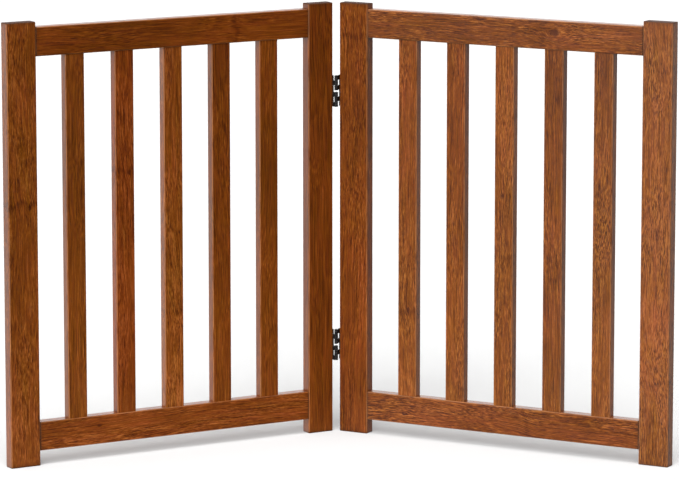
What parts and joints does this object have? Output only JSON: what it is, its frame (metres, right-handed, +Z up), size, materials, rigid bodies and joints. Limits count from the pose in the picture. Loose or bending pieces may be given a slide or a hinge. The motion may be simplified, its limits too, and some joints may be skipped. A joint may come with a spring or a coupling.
{
  "type": "pet gate",
  "caption": "Free-standing slatted wooden pet gate whose panels are joined by double-acting hinges, so it stands in a V and folds flat either way.",
  "frame": {"origin": "middle of the footprint's bounding box, on the floor", "axes": "+X across the gate from the left panel to the right panel, +Y from the open side of the V to the hinge side, +Z up"},
  "size_m": [0.9092, 0.2682, 0.61],
  "materials": {
    "stained_wood": "chestnut-brown stained hardwood, satin varnish",
    "plain_wood": "plain beech, unfinished",
    "black_metal": "black painted sheet steel, semi-gloss",
    "pin_steel": "blackened steel rod",
    "screw_steel": "black phosphated wood screws"
  },
  "bodies": {
    "hinge_links": {"lower_hinge_link": "black_metal", "lower_hinge_front_pins": "pin_steel", "lower_hinge_back_pins": "pin_steel", "upper_hinge_link": "black_metal", "upper_hinge_front_pins": "pin_steel", "upper_hinge_back_pins": "pin_steel"},
    "left_panel": {"left_outer_post": "stained_wood", "left_hinge_post": "stained_wood", "left_bottom_rail": "stained_wood", "left_top_rail": "stained_wood", "left_slat_1": "stained_wood", "left_slat_2": "stained_wood", "left_slat_3": "stained_wood", "left_slat_4": "stained_wood", "left_slat_5": "stained_wood", "left_dowels": "plain_wood", "lower_hinge_left_leaf": "black_metal", "lower_hinge_left_screws": "screw_steel", "upper_hinge_left_leaf": "black_metal", "upper_hinge_left_screws": "screw_steel"},
    "right_panel": {"right_hinge_post": "stained_wood", "right_outer_post": "stained_wood", "right_bottom_rail": "stained_wood", "right_top_rail": "stained_wood", "right_slat_1": "stained_wood", "right_slat_2": "stained_wood", "right_slat_3": "stained_wood", "right_slat_4": "stained_wood", "right_slat_5": "stained_wood", "right_dowels": "plain_wood", "lower_hinge_right_leaf": "black_metal", "lower_hinge_right_screws": "screw_steel", "upper_hinge_right_leaf": "black_metal", "upper_hinge_right_screws": "screw_steel"}
  },
  "joints": [
    {"name": "front_pin_turn", "type": "hinge", "parent": "hinge_links", "child": "left_panel", "pos_m": [-0.00219, 0.11065, 0], "axis": [0, 0, 1], "range_deg": [-58, 122]},
    {"name": "back_pin_turn", "type": "hinge", "parent": "hinge_links", "child": "right_panel", "pos_m": [0.00935, 0.13147, 0], "axis": [0, 0, 1], "range_deg": [0, 180]}
  ]
}
